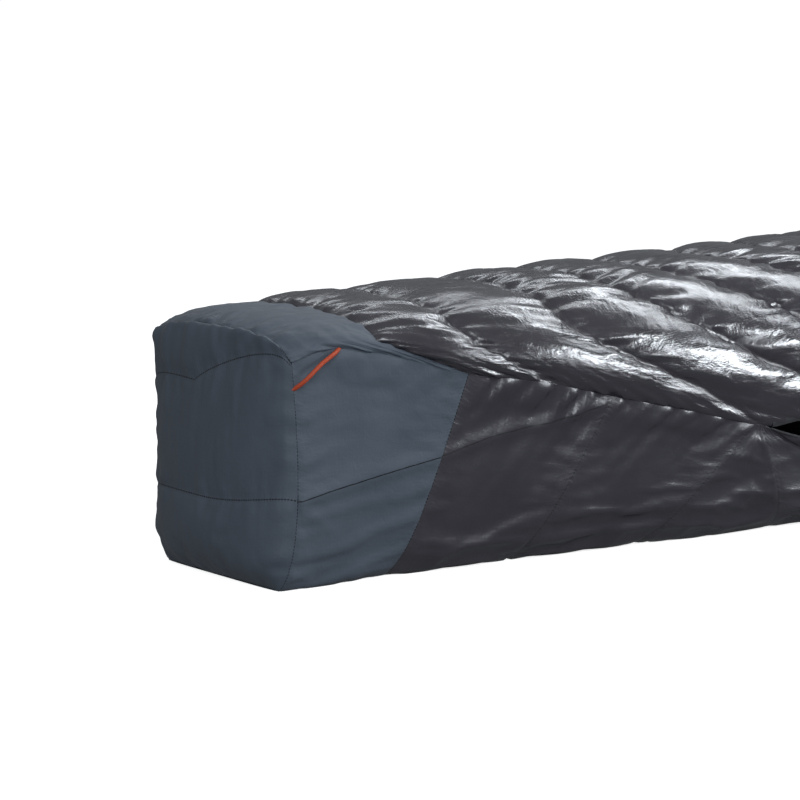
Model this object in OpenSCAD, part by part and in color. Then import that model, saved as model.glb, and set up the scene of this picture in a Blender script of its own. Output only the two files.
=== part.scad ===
// Camp quilt: closed box foot, sewn side seams to the knee, open back with two pad straps.
// Stations run along the length from the foot seam (0) to the head edge.
// The row frame has +X towards the head, +Y to the sleeper's right and +Z up, on the floor.

/* [Length] */
// Length from the foot seam to the head edge
quilt_len = 1975; // [1775:25:2150]
// How far the end panel domes past the foot seam
end_dome = 18; // [10:1:22]

/* [Section] */
// Width at the foot seam
foot_w = 292; // [270:2:310]
// Width at the knee, where the side seams end
knee_w = 484; // [460:4:520]
// Width at the shoulders
shoulder_w = 676; // [640:4:720]
// Width at the head edge
neck_w = 580; // [560:4:620]
// Height of the side seam at the foot corner
foot_h = 286; // [276:2:300]
// Height of the ridge at the foot
ridge_foot = 318; // [316:2:330]
// Height of the ridge at the hips
ridge_hip = 352; // [346:2:370]

/* [Insulation] */
// Height of a baffle wall, from shell to liner
wall_h = 13; // [10:1:15]
// Rise of a filled chamber above its seams, outside
crown_out = 8; // [5:1:9]
// Rise of a filled chamber inside, towards the sleeper
crown_in = 6; // [4:1:7]
// Rise of the chambers in the base, which the sleeper presses flat
crown_base = 2; // [1:1:3]
// Thickness of the shell and of the liner
cloth_t = 0.8; // [0.6:0.1:1]

/* [Hang loops] */
// Diameter of the loop cord
loop_d = 5.4; // [4:0.2:6]
// How far the loop bows away from its chord
loop_bow = 9; // [7:1:12]

/* [Pad straps] */
// Width of the strap webbing
web_w = 20; // [18:1:22]
// Thickness of the strap webbing
web_t = 1.4; // [1.2:0.1:1.6]
// Stations of the two pad straps, as shares of the length
strap_share = [0.61, 0.75];

/* [Neck] */
// Radius of the draft collar
collar_r = 17; // [14:1:19]
// Width of the two neck tabs
tab_w = 16; // [14:1:18]

/* [Hidden] */
$fn = 48;
eps = 0.3;            // gap between neighbouring soft pieces
foot_gap = 3.2;       // gap at the foot seam, where two curved pieces meet at a corner
seam_turn = 0.6;      // angle on the section from the side seam to the edge of the top pieces
floor_cut = 14;       // how much of the rounded base the floor flattens
n_low = 0.45;         // roundness of the lower section
n_side = 0.75;        // roundness of the upper section, sideways
n_top = 0.9;          // roundness of the upper section, upwards
stretch = quilt_len / 1975;
bind_w = 1.6;         // how far a binding reaches past the edge that it covers
// The foot seam's place, which puts the middle of the whole quilt at the origin
foot_x = (end_dome + 0.93 * crown_out - quilt_len - eps - bind_w) / 2;

// Station, value
half_width = [
    [0, foot_w / 2], [75, foot_w / 2 + 6], [150, foot_w / 2 + 16], [240, foot_w / 2 + 38],
    [390, knee_w / 2 - 36], [550, knee_w / 2 - 18], [716, knee_w / 2], [900, knee_w / 2 + 22],
    [1200, shoulder_w / 2 - 33], [1500, shoulder_w / 2 - 2], [1700, shoulder_w / 2],
    [1975, neck_w / 2]];
seam_height = [
    [0, foot_h], [60, foot_h + 13], [130, foot_h + 3], [240, 258], [360, 237], [475, 208],
    [585, 182], [716, 149], [850, 140], [1000, 135], [1975, 135]];
ridge_height = [
    [0, ridge_foot], [60, ridge_foot + 8], [300, ridge_foot + 14], [600, ridge_hip - 11],
    [1000, ridge_hip - 4], [1400, ridge_hip], [1700, ridge_hip - 6], [1975, ridge_hip - 40]];
// Angle of the top quilt's free edge on the section: 0 is the side seam, -90 the middle below
edge_angle = [
    [0, 0], [716, 0], [770, 2], [850, 3], [930, 2], [1000, -13], [1050, -42], [1100, -69],
    [1150, -79], [1210, -83], [1600, -83.5], [1975, -83]];

// Top seams: station at the ridge, sweep towards the head at the edge, share swept, sharpness
top_seams = [
    [0, 0, 0.5, 1], [132, 118, 0.12, 2], [258, 100, 0.25, 2], [425, 291, 0.25, 2],
    [548, 380, 0.5, 2.5], [668, 350, 0.5, 1.5], [803, 350, 0.5, 1.2], [935, 300, 0.5, 1.2],
    [1065, 250, 0.5, 1.2], [1195, 200, 0.5, 1.2], [1325, 160, 0.5, 1.2], [1455, 120, 0.5, 1.2],
    [1585, 90, 0.5, 1.2], [1715, 60, 0.5, 1.2], [1845, 30, 0.5, 1.2], [1975, 0, 0.5, 1]];
// Base seams: station on the floor, shift at the side seam, sharpness. The last is the hem.
base_seams = [[0, 0, 1], [160, 90, 1], [337, 130, 1], [530, 165, 1], [765, -57, 1],
              [1010, -294, 2.4]];
// Quilting lines across the end panel, as shares of its height
end_seams = [0, 0.36, 0.8, 1];

// Where a panel's grid lines lie across it
across_top = [0, 0.03, 0.08, 0.14, 0.2, 0.27, 0.34, 0.42, 0.5,
              0.58, 0.66, 0.73, 0.8, 0.86, 0.92, 0.97, 1];
across_base = [-0.988, -0.9, -0.7, -0.45, -0.2, -0.09, -0.042, 0,
               0.042, 0.09, 0.2, 0.45, 0.7, 0.9, 0.988];
across_end = [-1, -0.9, -0.7, -0.35, 0, 0.35, 0.7, 0.9, 1];
rows_per_chamber = 3;
n_top_chambers = len(top_seams) - 1;
n_base_chambers = len(base_seams) - 1;

TOP_FILLS = [for (k = [1:n_top_chambers]) str("top_fill_", k < 10 ? "0" : "", k)];
BASE_FILLS = [for (k = [1:n_base_chambers]) str("base_fill_", k)];
END_FILLS = ["end_fill_lower", "end_fill_middle", "end_fill_upper"];
SIDES = ["left", "right"];

slate = [0.25, 0.29, 0.33];
plum = [0.20, 0.18, 0.21];

// ---- Curves -------------------------------------------------------------------------------

function clamp(v, lo = 0, hi = 1) = min(max(v, lo), hi);
function mix(a, b, t) = a + (b - a) * t;
function spow(v, n) = sign(v) * pow(abs(v), n);
function span_of(s, t, i = 0) = i >= len(t) - 2 || s < t[i + 1][0] ? i : span_of(s, t, i + 1);
function slope_at(t, i) =
    let (a = t[max(i - 1, 0)], b = t[min(i + 1, len(t) - 1)]) (b[1] - a[1]) / (b[0] - a[0]);
// A smooth curve through a table of [station, value]
function curve(s, t) =
    let (i = span_of(s, t), a = t[i], b = t[i + 1], h = b[0] - a[0],
         q = clamp((s - a[0]) / h), q2 = q * q, q3 = q2 * q)
    (2 * q3 - 3 * q2 + 1) * a[1] + (q3 - 2 * q2 + q) * h * slope_at(t, i)
    + (3 * q2 - 2 * q3) * b[1] + (q3 - q2) * h * slope_at(t, i + 1);

// ---- The section --------------------------------------------------------------------------

// A point on the section at a nominal station. Angle 0 is the left side seam, 90 the ridge,
// 180 the right side seam and 270 the middle of the base. Below the seams, equal steps of
// angle are equal steps down. depth is how far inside the outer surface, and rest is the
// height at which that layer lies on the floor.
function section(s, angle, depth, rest) =
    let (b = curve(s, half_width) - depth, h = curve(s, seam_height),
         top = curve(s, ridge_height) - depth, left = angle < 90,
         drop = left ? -angle / 90 : (angle - 180) / 90)
    [foot_x + s * stretch,
     drop > 0 ? (left ? -b : b) * low_width(drop) : -b * spow(cos(angle), n_side),
     drop > 0 ? max(rest, h - (h + floor_cut - depth) * drop)
              : h + (top - h) * pow(sin(angle), n_top)];
// Share of the half width left at a share of the drop from the side seam to the base
function low_width(drop) = pow(1 - pow(clamp(drop), 2 / n_low), n_low / 2);

// Station of top seam k, at share u across the quilt
function top_station(k, u) =
    let (q = top_seams[k], w = min(u, 1 - u)) q[0] + q[1] * pow(max(0, 1 - w / q[2]), q[3]);
// Angle at share u across the quilt at station s
function top_angle(s, u) = let (e = curve(s, edge_angle)) e + u * (180 - 2 * e);
// The same for the pieces of the top, whose two edges keep clear of the side seam and binding
function piece_angle(s, u) =
    let (turn = mix(seam_turn, 0.06, clamp((s - 700) / 60)))
    top_angle(s, u) + (u == 0 ? turn : u == 1 ? -turn : 0);
// Station of base seam j, at share w across: 0 is the middle, -1 and 1 the side seams
function base_station(j, w) = let (q = base_seams[j]) q[0] + q[1] * pow(abs(w), q[2]);
// Angle at share w across the base
function base_angle(w) = w < 0 ? -90 * (1 + w) : 180 + 90 * (1 - w);

// Fullness of a chamber: 0 on its seams and edges, 1 in its middle
function fullness(v) = pow(4 * v * (1 - v), 0.6);
function near_edge(u) = pow(clamp(min(u, 1 - u) / 0.09), 0.5);

function rows(a, b) =
    [for (k = [a:b - 1]) for (i = [0:rows_per_chamber - (k == b - 1 ? 0 : 1)])
        [k, i / rows_per_chamber]];

// One face of the top quilt from chamber a up to chamber b, at a depth. puff is the rise at
// the middle of a chamber: above 0 outwards, below 0 inwards. trim shortens the two ends.
function top_face(a, b, depth, puff, trim = 0) =
    [for (r = rows(a, b)) [for (u = across_top)
        let (k = r[0], v = r[1],
             lo = k == 0 ? depth + foot_gap : top_station(k, u),
             hi = top_station(k + 1, u),
             first = k == a && v == 0, last = k == b - 1 && v == 1,
             s = mix(lo, hi, v) + (first && k > 0 ? trim : last ? -trim : 0),
             rise = puff * fullness(v) * near_edge(u))
        section(s, piece_angle(s, u), depth - rise, depth + max(0, -rise))]];

// One face of the base and its side walls
function base_face(a, b, depth, puff, trim = 0) =
    [for (r = rows(a, b)) [for (w = across_base)
        let (k = r[0], v = r[1],
             lo = k == 0 ? depth + foot_gap : base_station(k, w),
             hi = base_station(k + 1, w),
             first = k == a && v == 0, last = k == b - 1 && v == 1,
             s = mix(lo, hi, v) + (first && k > 0 ? trim : last ? -trim : 0),
             rise = puff * fullness(v) * near_edge((1 - abs(w)) * 0.9))
        section(s, base_angle(w), depth - rise, depth + max(0, -rise))]];

// Half the width of the end panel at height z
function end_half(z, depth) =
    let (h = foot_h, low = pow(clamp((h - z) / (h + floor_cut - depth)), 1 / n_low),
         high = pow(clamp((z - h) / (ridge_foot - depth - h)), 1 / n_top),
         b = foot_w / 2 - depth)
    b * (z < h ? pow(1 - low * low, n_low / 2) : pow(1 - high * high, n_side / 2));

// One face of the end panel from chamber a up to chamber b
function end_face(a, b, depth, puff, trim = 0) =
    [for (r = rows(a, b)) [for (u = across_end)
        let (k = r[0], v = r[1], lo = depth, hi = ridge_foot - depth - 1.2,
             share = mix(end_seams[k], end_seams[k + 1], k == 2 ? 1 - pow(1 - v, 1.6) : v),
             first = k == a && v == 0, last = k == b - 1 && v == 1,
             z = mix(lo, hi, share) + (first && k > 0 ? trim : last && k < 2 ? -trim : 0),
             across = 1 - u * u,
             bulge = end_dome * across * 4 * share * (1 - share)
                   + puff * fullness(v) * pow(across, 0.5))
        [foot_x + depth * stretch - bulge, u * end_half(z, depth), z]]];

// ---- Solids from faces --------------------------------------------------------------------

// A closed solid between two grids of the same size. flip turns it the right way out. The
// diagonals of its two halves mirror each other, and neighbours' diagonals match at their rims.
module slab(outer, inner, flip = false) {
    nr = len(outer);
    nc = len(outer[0]);
    half = nr * nc;
    points = concat([for (r = outer) for (p = r) p], [for (r = inner) for (p = r) p]);
    function at(i, j, k = 0) = k * half + i * nc + j;
    function quad(a, b, c, d, right = false) =
        let (pair = right ? [[a, b, d], [b, c, d]] : [[a, b, c], [a, c, d]])
        flip ? pair : [for (t = pair) [t[0], t[2], t[1]]];
    function in_right(j) = 2 * j >= nc - 1;
    faces = concat(
        [for (i = [0:nr - 2], j = [0:nc - 2])
            each quad(at(i, j), at(i + 1, j), at(i + 1, j + 1), at(i, j + 1), in_right(j))],
        [for (i = [0:nr - 2], j = [0:nc - 2])
            each quad(at(i, j, 1), at(i, j + 1, 1), at(i + 1, j + 1, 1), at(i + 1, j, 1),
                      in_right(j))],
        [for (i = [0:nr - 2])
            each concat(quad(at(i, 0), at(i, 0, 1), at(i + 1, 0, 1), at(i + 1, 0)),
                        quad(at(i, nc - 1), at(i + 1, nc - 1), at(i + 1, nc - 1, 1),
                             at(i, nc - 1, 1)))],
        [for (j = [0:nc - 2])
            each concat(quad(at(0, j), at(0, j + 1), at(0, j + 1, 1), at(0, j, 1), in_right(j)),
                        quad(at(nr - 1, j), at(nr - 1, j, 1), at(nr - 1, j + 1, 1),
                             at(nr - 1, j + 1), in_right(j)))]);
    polyhedron(points, faces, convexity = 8);
}

// A tube of n sides along a path
module tube(path, r, n = 8) {
    m = len(path);
    function unit(v) = v / norm(v);
    function along(i) = unit(path[min(i + 1, m - 1)] - path[max(i - 1, 0)]);
    function side(i) = unit(cross(along(i), [0.31, 0.87, 0.37]));
    rings = [for (i = [0:m - 1]) for (j = [0:n - 1])
        path[i] + r * (cos(360 * j / n) * side(i) + sin(360 * j / n) * cross(along(i), side(i)))];
    walls = [for (i = [0:m - 2], j = [0:n - 1])
        let (a = i * n + j, b = i * n + (j + 1) % n) each [[a, a + n, b + n], [a, b + n, b]]];
    caps = [[for (j = [0:n - 1]) j], [for (j = [n - 1:-1:0]) (m - 1) * n + j]];
    polyhedron(rings, concat(walls, caps), convexity = 4);
}

module mirrored(side) {
    if (side == "right") mirror([0, 1, 0]) children();
    else children();
}

// ---- Shell, liner, walls and fill ---------------------------------------------------------

module top_skin(a, b, trim) {
    slab(top_face(a, b, 0, crown_out, trim), top_face(a, b, cloth_t, crown_out, trim));
}

module base_skin(a, b, trim) {
    slab(base_face(a, b, 0, crown_out, trim), base_face(a, b, cloth_t, crown_out, trim), true);
}

module footbox_end_shell() {
    color(slate) slab(end_face(0, 3, 0, crown_out), end_face(0, 3, cloth_t, crown_out));
}

module footbox_top_shell() {
    color(slate) top_skin(0, 1, 0.15);
}

module footbox_base_shell() {
    color(slate) base_skin(0, 1, 0.15);
}

module top_shell() {
    color(plum) top_skin(1, n_top_chambers, 0.15);
}

module base_shell() {
    color(plum) base_skin(1, n_base_chambers, 0.15);
}

module end_liner() {
    color("dimgray")
        slab(end_face(0, 3, wall_h - cloth_t, -crown_in), end_face(0, 3, wall_h, -crown_in));
}

module top_liner() {
    color("dimgray")
        slab(top_face(0, n_top_chambers, wall_h - cloth_t, -crown_in, 0.15),
             top_face(0, n_top_chambers, wall_h, -crown_in, 0.15));
}

module base_liner() {
    color("dimgray")
        slab(base_face(0, n_base_chambers, wall_h - cloth_t, -crown_base, 0.15),
             base_face(0, n_base_chambers, wall_h, -crown_base, 0.15), true);
}

fill_out = cloth_t + eps;
fill_in = wall_h - cloth_t - eps;
wall_t = 0.6;
fill_trim = wall_t / 2 + eps;

module top_fill(k) {
    color("whitesmoke")
        slab(top_face(k, k + 1, fill_out, crown_out, fill_trim),
             top_face(k, k + 1, fill_in, -crown_in, fill_trim));
}

module base_fill(k) {
    color("whitesmoke")
        slab(base_face(k, k + 1, fill_out, crown_out, fill_trim),
             base_face(k, k + 1, fill_in, -crown_base, fill_trim), true);
}

module end_fill(k) {
    color("whitesmoke")
        slab(end_face(k, k + 1, fill_out, crown_out, fill_trim),
             end_face(k, k + 1, fill_in, -crown_in, fill_trim));
}

// The sheet of mesh that stands under a seam, from shell to liner
module top_baffle_walls() {
    color("lightgray")
        for (k = [1:n_top_chambers - 1])
            slab([for (d = [-wall_t / 2, wall_t / 2]) [for (u = across_top)
                     let (s = top_station(k, u) + d)
                     section(s, piece_angle(s, u), fill_out, fill_out)]],
                 [for (d = [-wall_t / 2, wall_t / 2]) [for (u = across_top)
                     let (s = top_station(k, u) + d)
                     section(s, piece_angle(s, u), fill_in, fill_in)]]);
}

module base_baffle_walls() {
    color("lightgray")
        for (k = [1:n_base_chambers - 1])
            slab([for (d = [-wall_t / 2, wall_t / 2]) [for (w = across_base)
                     section(base_station(k, w) + d, base_angle(w), fill_out, fill_out)]],
                 [for (d = [-wall_t / 2, wall_t / 2]) [for (w = across_base)
                     section(base_station(k, w) + d, base_angle(w), fill_in, fill_in)]],
                 true);
}

// ---- Bindings and collar ------------------------------------------------------------------

// One millimetre past the top quilt's edge, in the direction of the panel there
function edge_step(s) =
    let (a = top_angle(s, 0), v = section(s, a - 0.4, 0, -99) - section(s, a, 0, -99))
    [0, v[1], v[2]] / norm([v[1], v[2]]);
first_free = 3;       // the top seam that ends where the side seam ends
edge_gap = 0.35;      // gap between the top quilt's edge and its binding
bind_rest = 0.7;      // how much higher than the shell a binding lies where it rests on the floor

// A tape folded over the free edge of the top quilt, from the side seam's end to the head
module edge_binding(side) {
    path = [for (r = rows(first_free, n_top_chambers))
        mix(top_station(r[0], 0), top_station(r[0] + 1, 0), r[1])];
    function strip(past, depth) = [for (i = [0:len(path) - 1])
        let (s = path[i] + (i == 0 ? 6 : 0))
        let (p = section(s, top_angle(s, 0), depth, depth) + past * edge_step(s))
        [p[0], p[1], max(p[2], depth + bind_rest)]];
    mirrored(side) color("black")
        slab([strip(edge_gap, 0), strip(edge_gap + bind_w, 0)],
             [strip(edge_gap, wall_h), strip(edge_gap + bind_w, wall_h)]);
}

module base_hem_binding() {
    last = n_base_chambers;
    function strip(past, depth) = [for (w = across_base)
        section(base_station(last, w) + past, base_angle(w), depth, depth + bind_rest)];
    color("black")
        slab([strip(eps, 0), strip(eps + bind_w, 0)],
             [strip(eps, wall_h), strip(eps + bind_w, wall_h)], true);
}

// The folded tape round the head edge
module neck_binding() {
    function strip(past, depth) = [for (u = across_top)
        let (p = section(1975, top_angle(1975, u), depth, depth)) p + [eps + past, 0, 0]];
    color("black")
        slab([strip(0, 0), strip(bind_w, 0)], [strip(0, wall_h), strip(bind_w, wall_h)]);
}

module draft_collar() {
    n = 8;
    shares = [for (u = across_top) mix(0.09, 0.91, u)];
    depth = wall_h + crown_in + collar_r + 3;
    function ring(u) = let (e = u < 0.1 || u > 0.9 ? 0.7 : 1)
        [for (j = [0:n - 1]) let (a = 360 * j / n)
            section(1975 - collar_r - 6, top_angle(1975, u), depth - e * collar_r * sin(a), wall_h + 4)
            + [e * collar_r * cos(a), 0, 0]];
    points = [for (u = shares) each ring(u)];
    m = len(shares);
    color("dimgray") polyhedron(points, concat(
        [for (i = [0:m - 2], j = [0:n - 1])
            let (a = i * n + j, b = i * n + (j + 1) % n) each [[a, b + n, a + n], [a, b, b + n]]],
        [[for (j = [n - 1:-1:0]) j], [for (j = [0:n - 1]) (m - 1) * n + j]]), convexity = 6);
}

// ---- Pad straps and neck tabs -------------------------------------------------------------

function strap_station(i) = strap_share[i] * 1975;
function strap_x(i) = foot_x + strap_share[i] * quilt_len;
// Where a band that is sewn to the tucked edge of the top quilt ends, clear of its binding
function edge_y(s) =
    min([for (d = [-12, 12]) -section(s + d, top_angle(s + d, 0), 0, 0)[1]]) - bind_w - 4.6;
web_z = 3.2;          // underside of the webbing
buckle_y = -118;      // mouth of the buckle socket
plug_reach = 19;      // length of the plug inside the socket
release_travel = 34;

module web_band(x, y0, y1, w = web_w) {
    translate([x - w / 2, y0, web_z]) cube([w, y1 - y0, web_t]);
}

// The tail of webbing from the left edge of the quilt to the socket
module strap_short(i) {
    color("black") web_band(strap_x(i), -edge_y(strap_station(i)), buckle_y - 29.3);
}

// The elastic run of webbing from the plug to the right edge
module strap_long(i) {
    color("black") web_band(strap_x(i), buckle_y + 23.8, edge_y(strap_station(i)));
}

module buckle_socket(i) {
    color("black") translate([strap_x(i), buckle_y, 0]) difference() {
        hull() for (x = [-11, 11]) {
            translate([x, -26, 0.4]) cylinder(r = 3, h = 7.4, $fn = 24);
            translate([x, -3, 0.4]) cylinder(r = 3, h = 7.4, $fn = 24);
        }
        translate([-11, -plug_reach - 3, 1.9]) cube([22, plug_reach + 6, 4.4]);
        for (side = [-1, 1])
            translate([side * 12.5 - 3, -15, 1.9]) cube([6, 8, 4.4]);
    }
}

// The plug: two side arms and a centre guide on a bar that the webbing is sewn round
module buckle_plug(i) {
    color("black") translate([strap_x(i), buckle_y, 0]) {
        translate([-14, 2, 1.2]) cube([28, 6, 5.8]);
        translate([-14, 8, 1.2]) cube([4, 10, 5.8]);
        translate([10, 8, 1.2]) cube([4, 10, 5.8]);
        translate([-14, 18, 1.2]) cube([28, 5.5, 5.8]);
        translate([-2, -15, 2.6]) cube([4, 17, 3]);
        for (side = [-1, 1])
            translate([side * 8.5 - 1.7, -17, 2.6]) cube([3.4, 19, 3]);
    }
}

adjuster_y = 96;
adjust_travel = 30;

// Ladder slide: the webbing runs over its two outer bars and under its middle bar
module strap_adjuster(i) {
    rail = web_w / 2 + 0.8;
    color("black") translate([strap_x(i), adjuster_y, 0]) {
        for (side = [-1, 1])
            translate([side * (rail + 1.2) - 1.2, -10, 0.9]) cube([2.4, 20, 6]);
        for (y = [-10, 7.6])
            translate([-rail, y, 0.9]) cube([2 * rail, 2.4, 1.9]);
        translate([-rail, -1.5, web_z + web_t + 0.3]) cube([2 * rail, 3, 2]);
    }
}

neck_s = 1925;
neck_x = foot_x + neck_s * stretch;
lap = 22;             // how far the two neck tabs overlap
tab_gap = 1.3;        // gap between the two tabs, filled by the socket's flange

snap_hole = 2.2;      // radius of the hole that each tab has for its half of the snap
snap_post = 1.9;
upper_z = web_z + web_t + tab_gap;

module neck_tab_lower() {
    color("black") difference() {
        web_band(neck_x, -edge_y(neck_s), lap / 2, tab_w);
        translate([neck_x, 0, 0]) cylinder(r = snap_hole, h = 20);
    }
}

module neck_tab_upper() {
    color("black") difference() {
        translate([0, 0, upper_z - web_z]) web_band(neck_x, -lap / 2, edge_y(neck_s), tab_w);
        translate([neck_x, 0, 0]) cylinder(r = snap_hole, h = 20);
    }
}

// Socket half: a flange under the lower tab, a post through it and a cup above it
module neck_snap_socket() {
    color("silver") translate([neck_x, 0, 0]) {
        translate([0, 0, web_z - 1.7]) cylinder(r = 6, h = 1.6);
        translate([0, 0, web_z - 0.5]) cylinder(r = snap_post, h = web_t + 1);
        translate([0, 0, web_z + web_t + 0.1]) difference() {
            cylinder(r = 5, h = tab_gap - 0.3);
            translate([0, 0, 0.5]) cylinder(r = snap_hole, h = 2);
        }
    }
}

// Cap half: a domed cap above the upper tab, with the stud that clicks into the cup
module neck_snap_cap() {
    color("silver") translate([neck_x, 0, upper_z]) {
        translate([0, 0, web_t + 0.1]) cylinder(r1 = 6.4, r2 = 5.4, h = 1.5);
        translate([0, 0, -0.6]) cylinder(r = snap_post, h = web_t + 1.2);
    }
}

// ---- Hang loops ---------------------------------------------------------------------------

loop_low = [14, 254];     // station and height of the end in the corner seam
loop_high = [80, 299];    // station and height of the end in the side seam
loop_off = 13;            // how far the loop lies out from the foot seam's half width

// A cord loop that spans the top foot corner, lying on the side wall
module hang_loop(side) {
    n = 12;
    y = foot_w / 2 + loop_d / 2 + loop_off;
    chord = [(loop_high[0] - loop_low[0]) * stretch, loop_high[1] - loop_low[1]];
    out = [-chord[1], chord[0]] / norm(chord);
    path = [for (i = [0:n])
        let (t = i / n, bow = loop_bow * sin(180 * t),
             x = mix(loop_low[0], loop_high[0], t) * stretch, z = mix(loop_low[1], loop_high[1], t))
        [foot_x + x + bow * out[0], -y + 1.2 * pow(2 * t - 1, 2), z + bow * out[1]]];
    mirrored(side) color("orangered") tube(path, loop_d / 2);
}

// ---- Nodes --------------------------------------------------------------------------------

footbox_end_shell();
footbox_top_shell();
footbox_base_shell();
top_shell();
base_shell();
end_liner();
top_liner();
base_liner();
top_baffle_walls();
base_baffle_walls();
for (k = [0:n_top_chambers - 1])
    top_fill(k);
for (k = [0:n_base_chambers - 1])
    base_fill(k);
for (k = [0:2])
    end_fill(k);
draft_collar();
edge_binding("left");  // edge_binding_left
edge_binding("right");  // edge_binding_right
base_hem_binding();
neck_binding();
neck_tab_lower();
neck_tab_upper();
neck_snap_socket();
neck_snap_cap();
for (side = SIDES) {
    hang_loop(side);
}
strap_short(0);  // hip_strap_short
strap_long(0);  // hip_strap_long
buckle_socket(0);  // hip_buckle_socket
buckle_plug(0);  // hip_buckle_plug
strap_adjuster(0);  // hip_strap_adjuster
strap_short(1);  // chest_strap_short
strap_long(1);  // chest_strap_long
buckle_socket(1);  // chest_buckle_socket
buckle_plug(1);  // chest_buckle_plug
strap_adjuster(1);  // chest_strap_adjuster
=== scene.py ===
"""The looks of a camp quilt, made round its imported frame.

The quilt lies along X with its foot at -X. Its cloth is made panel by panel on the grid of its
seams, and blown up and wrinkled by cloth simulation. Stations are distances from the foot, and
they, heights and widths are millimetres, as in the part's source. Meshes, materials, lights and
gathers are in metres.
"""

import math

import bpy
import numpy as np
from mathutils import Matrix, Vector


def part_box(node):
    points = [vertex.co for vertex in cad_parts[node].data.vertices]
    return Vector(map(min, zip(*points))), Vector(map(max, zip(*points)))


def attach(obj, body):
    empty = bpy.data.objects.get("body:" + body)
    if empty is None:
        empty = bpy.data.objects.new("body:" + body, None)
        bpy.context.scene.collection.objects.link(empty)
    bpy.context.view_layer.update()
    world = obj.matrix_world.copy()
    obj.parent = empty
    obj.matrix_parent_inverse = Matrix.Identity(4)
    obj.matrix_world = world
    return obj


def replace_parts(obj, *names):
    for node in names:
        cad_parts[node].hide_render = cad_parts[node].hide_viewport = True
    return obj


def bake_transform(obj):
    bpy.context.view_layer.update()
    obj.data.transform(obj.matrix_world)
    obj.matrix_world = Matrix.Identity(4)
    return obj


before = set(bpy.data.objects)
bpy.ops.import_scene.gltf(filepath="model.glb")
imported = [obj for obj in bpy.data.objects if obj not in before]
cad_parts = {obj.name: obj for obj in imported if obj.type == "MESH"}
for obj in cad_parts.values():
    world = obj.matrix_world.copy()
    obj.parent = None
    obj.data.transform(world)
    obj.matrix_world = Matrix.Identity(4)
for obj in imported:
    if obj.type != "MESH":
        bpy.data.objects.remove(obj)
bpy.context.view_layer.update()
scene = bpy.context.scene

MM = 0.001
FOOT_GAP = 3.2                                         # from the foot seam to the next pieces
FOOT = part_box("footbox_top_shell")[0].x / MM - FOOT_GAP
HEAD = 1975.0                                          # station of the head edge
CROWN = 8.0                                            # rise of a filled chamber
WALL = 13.0                                            # from shell to liner
FLOOR_CUT = 14.0                                       # how far the floor cuts into the section
ROUND_LOW, ROUND_SIDE, ROUND_TOP = 0.45, 0.75, 0.9     # roundness: near 0 square, 1 an ellipse
ROUND_FOOT = 0.30                                      # the lower section at the foot
FOOT_SQUARE = 260                                      # station where it has become ROUND_LOW
TOP_EDGE, BASE_EDGE = 0.09, 0.11                       # share across that a chamber rises over
REST = 0.3                                             # height of the cloth on the floor
PINCH = 716                                            # where the side seams end

# ---- The quilt's shape --------------------------------------------------------------------

HALF_WIDTH = [(0, 146), (75, 152), (150, 162), (240, 184), (390, 206), (550, 224), (716, 242),
              (900, 264), (1200, 305), (1500, 336), (1700, 338), (1975, 290)]
SEAM_HEIGHT = [(0, 286), (60, 299), (130, 289), (240, 258), (360, 237), (475, 208), (585, 182),
               (716, 149), (850, 140), (1000, 135), (1975, 135)]
RIDGE_HEIGHT = [(0, 318), (60, 326), (300, 332), (600, 341), (1000, 348), (1400, 352),
                (1700, 346), (1975, 312)]
EDGE_ANGLE = [(0, 0), (716, 0), (770, 2), (850, 3), (930, 2), (1000, -13), (1050, -42),
              (1100, -69), (1150, -79), (1210, -83), (1600, -83.5), (1975, -83)]
# Top seams: station at the ridge, sweep at the edge, share swept, sharpness
TOP_SEAMS = [(0, 0, 0.5, 1), (132, 118, 0.12, 2), (258, 100, 0.25, 2), (425, 291, 0.25, 2),
             (548, 380, 0.5, 2.5), (668, 350, 0.5, 1.5), (803, 350, 0.5, 1.2),
             (935, 300, 0.5, 1.2), (1065, 250, 0.5, 1.2), (1195, 200, 0.5, 1.2),
             (1325, 160, 0.5, 1.2), (1455, 120, 0.5, 1.2), (1585, 90, 0.5, 1.2),
             (1715, 60, 0.5, 1.2), (1845, 30, 0.5, 1.2), (1975, 0, 0.5, 1)]
# Base seams: station on the floor, shift at the side seam, sharpness. The last is the hem.
BASE_SEAMS = [(0, 0, 1), (160, 90, 1), (337, 130, 1), (530, 165, 1), (765, -57, 1),
              (1010, -294, 2.4)]
CORNER_IN, CORNER_BOW = 5.0, 11.0                      # the corner seam's place at the foot
N_TOP_CHAMBERS = len(TOP_SEAMS) - 1
N_BASE_CHAMBERS = len(BASE_SEAMS) - 1


def curve(s, table):
    """A smooth curve through a table of (station, value)."""
    xs, ys = np.array(table, float).T
    slope = np.empty_like(ys)
    slope[1:-1] = (ys[2:] - ys[:-2]) / (xs[2:] - xs[:-2])
    slope[0] = (ys[1] - ys[0]) / (xs[1] - xs[0])
    slope[-1] = (ys[-1] - ys[-2]) / (xs[-1] - xs[-2])
    i = np.clip(np.searchsorted(xs, s, side="right") - 1, 0, len(xs) - 2)
    h = xs[i + 1] - xs[i]
    q = np.clip((s - xs[i]) / h, 0, 1)
    return ((2 * q**3 - 3 * q**2 + 1) * ys[i] + (q**3 - 2 * q**2 + q) * h * slope[i]
            + (3 * q**2 - 2 * q**3) * ys[i + 1] + (q**3 - q**2) * h * slope[i + 1])


def low_width(drop, s):
    """Share of the half width left below the seams: the foot is squarer than the rest."""
    n = ROUND_FOOT + (ROUND_LOW - ROUND_FOOT) * np.clip(s / FOOT_SQUARE, 0, 1)
    return (1 - np.clip(drop, 0, 1) ** (2 / n)) ** (n / 2)


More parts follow.
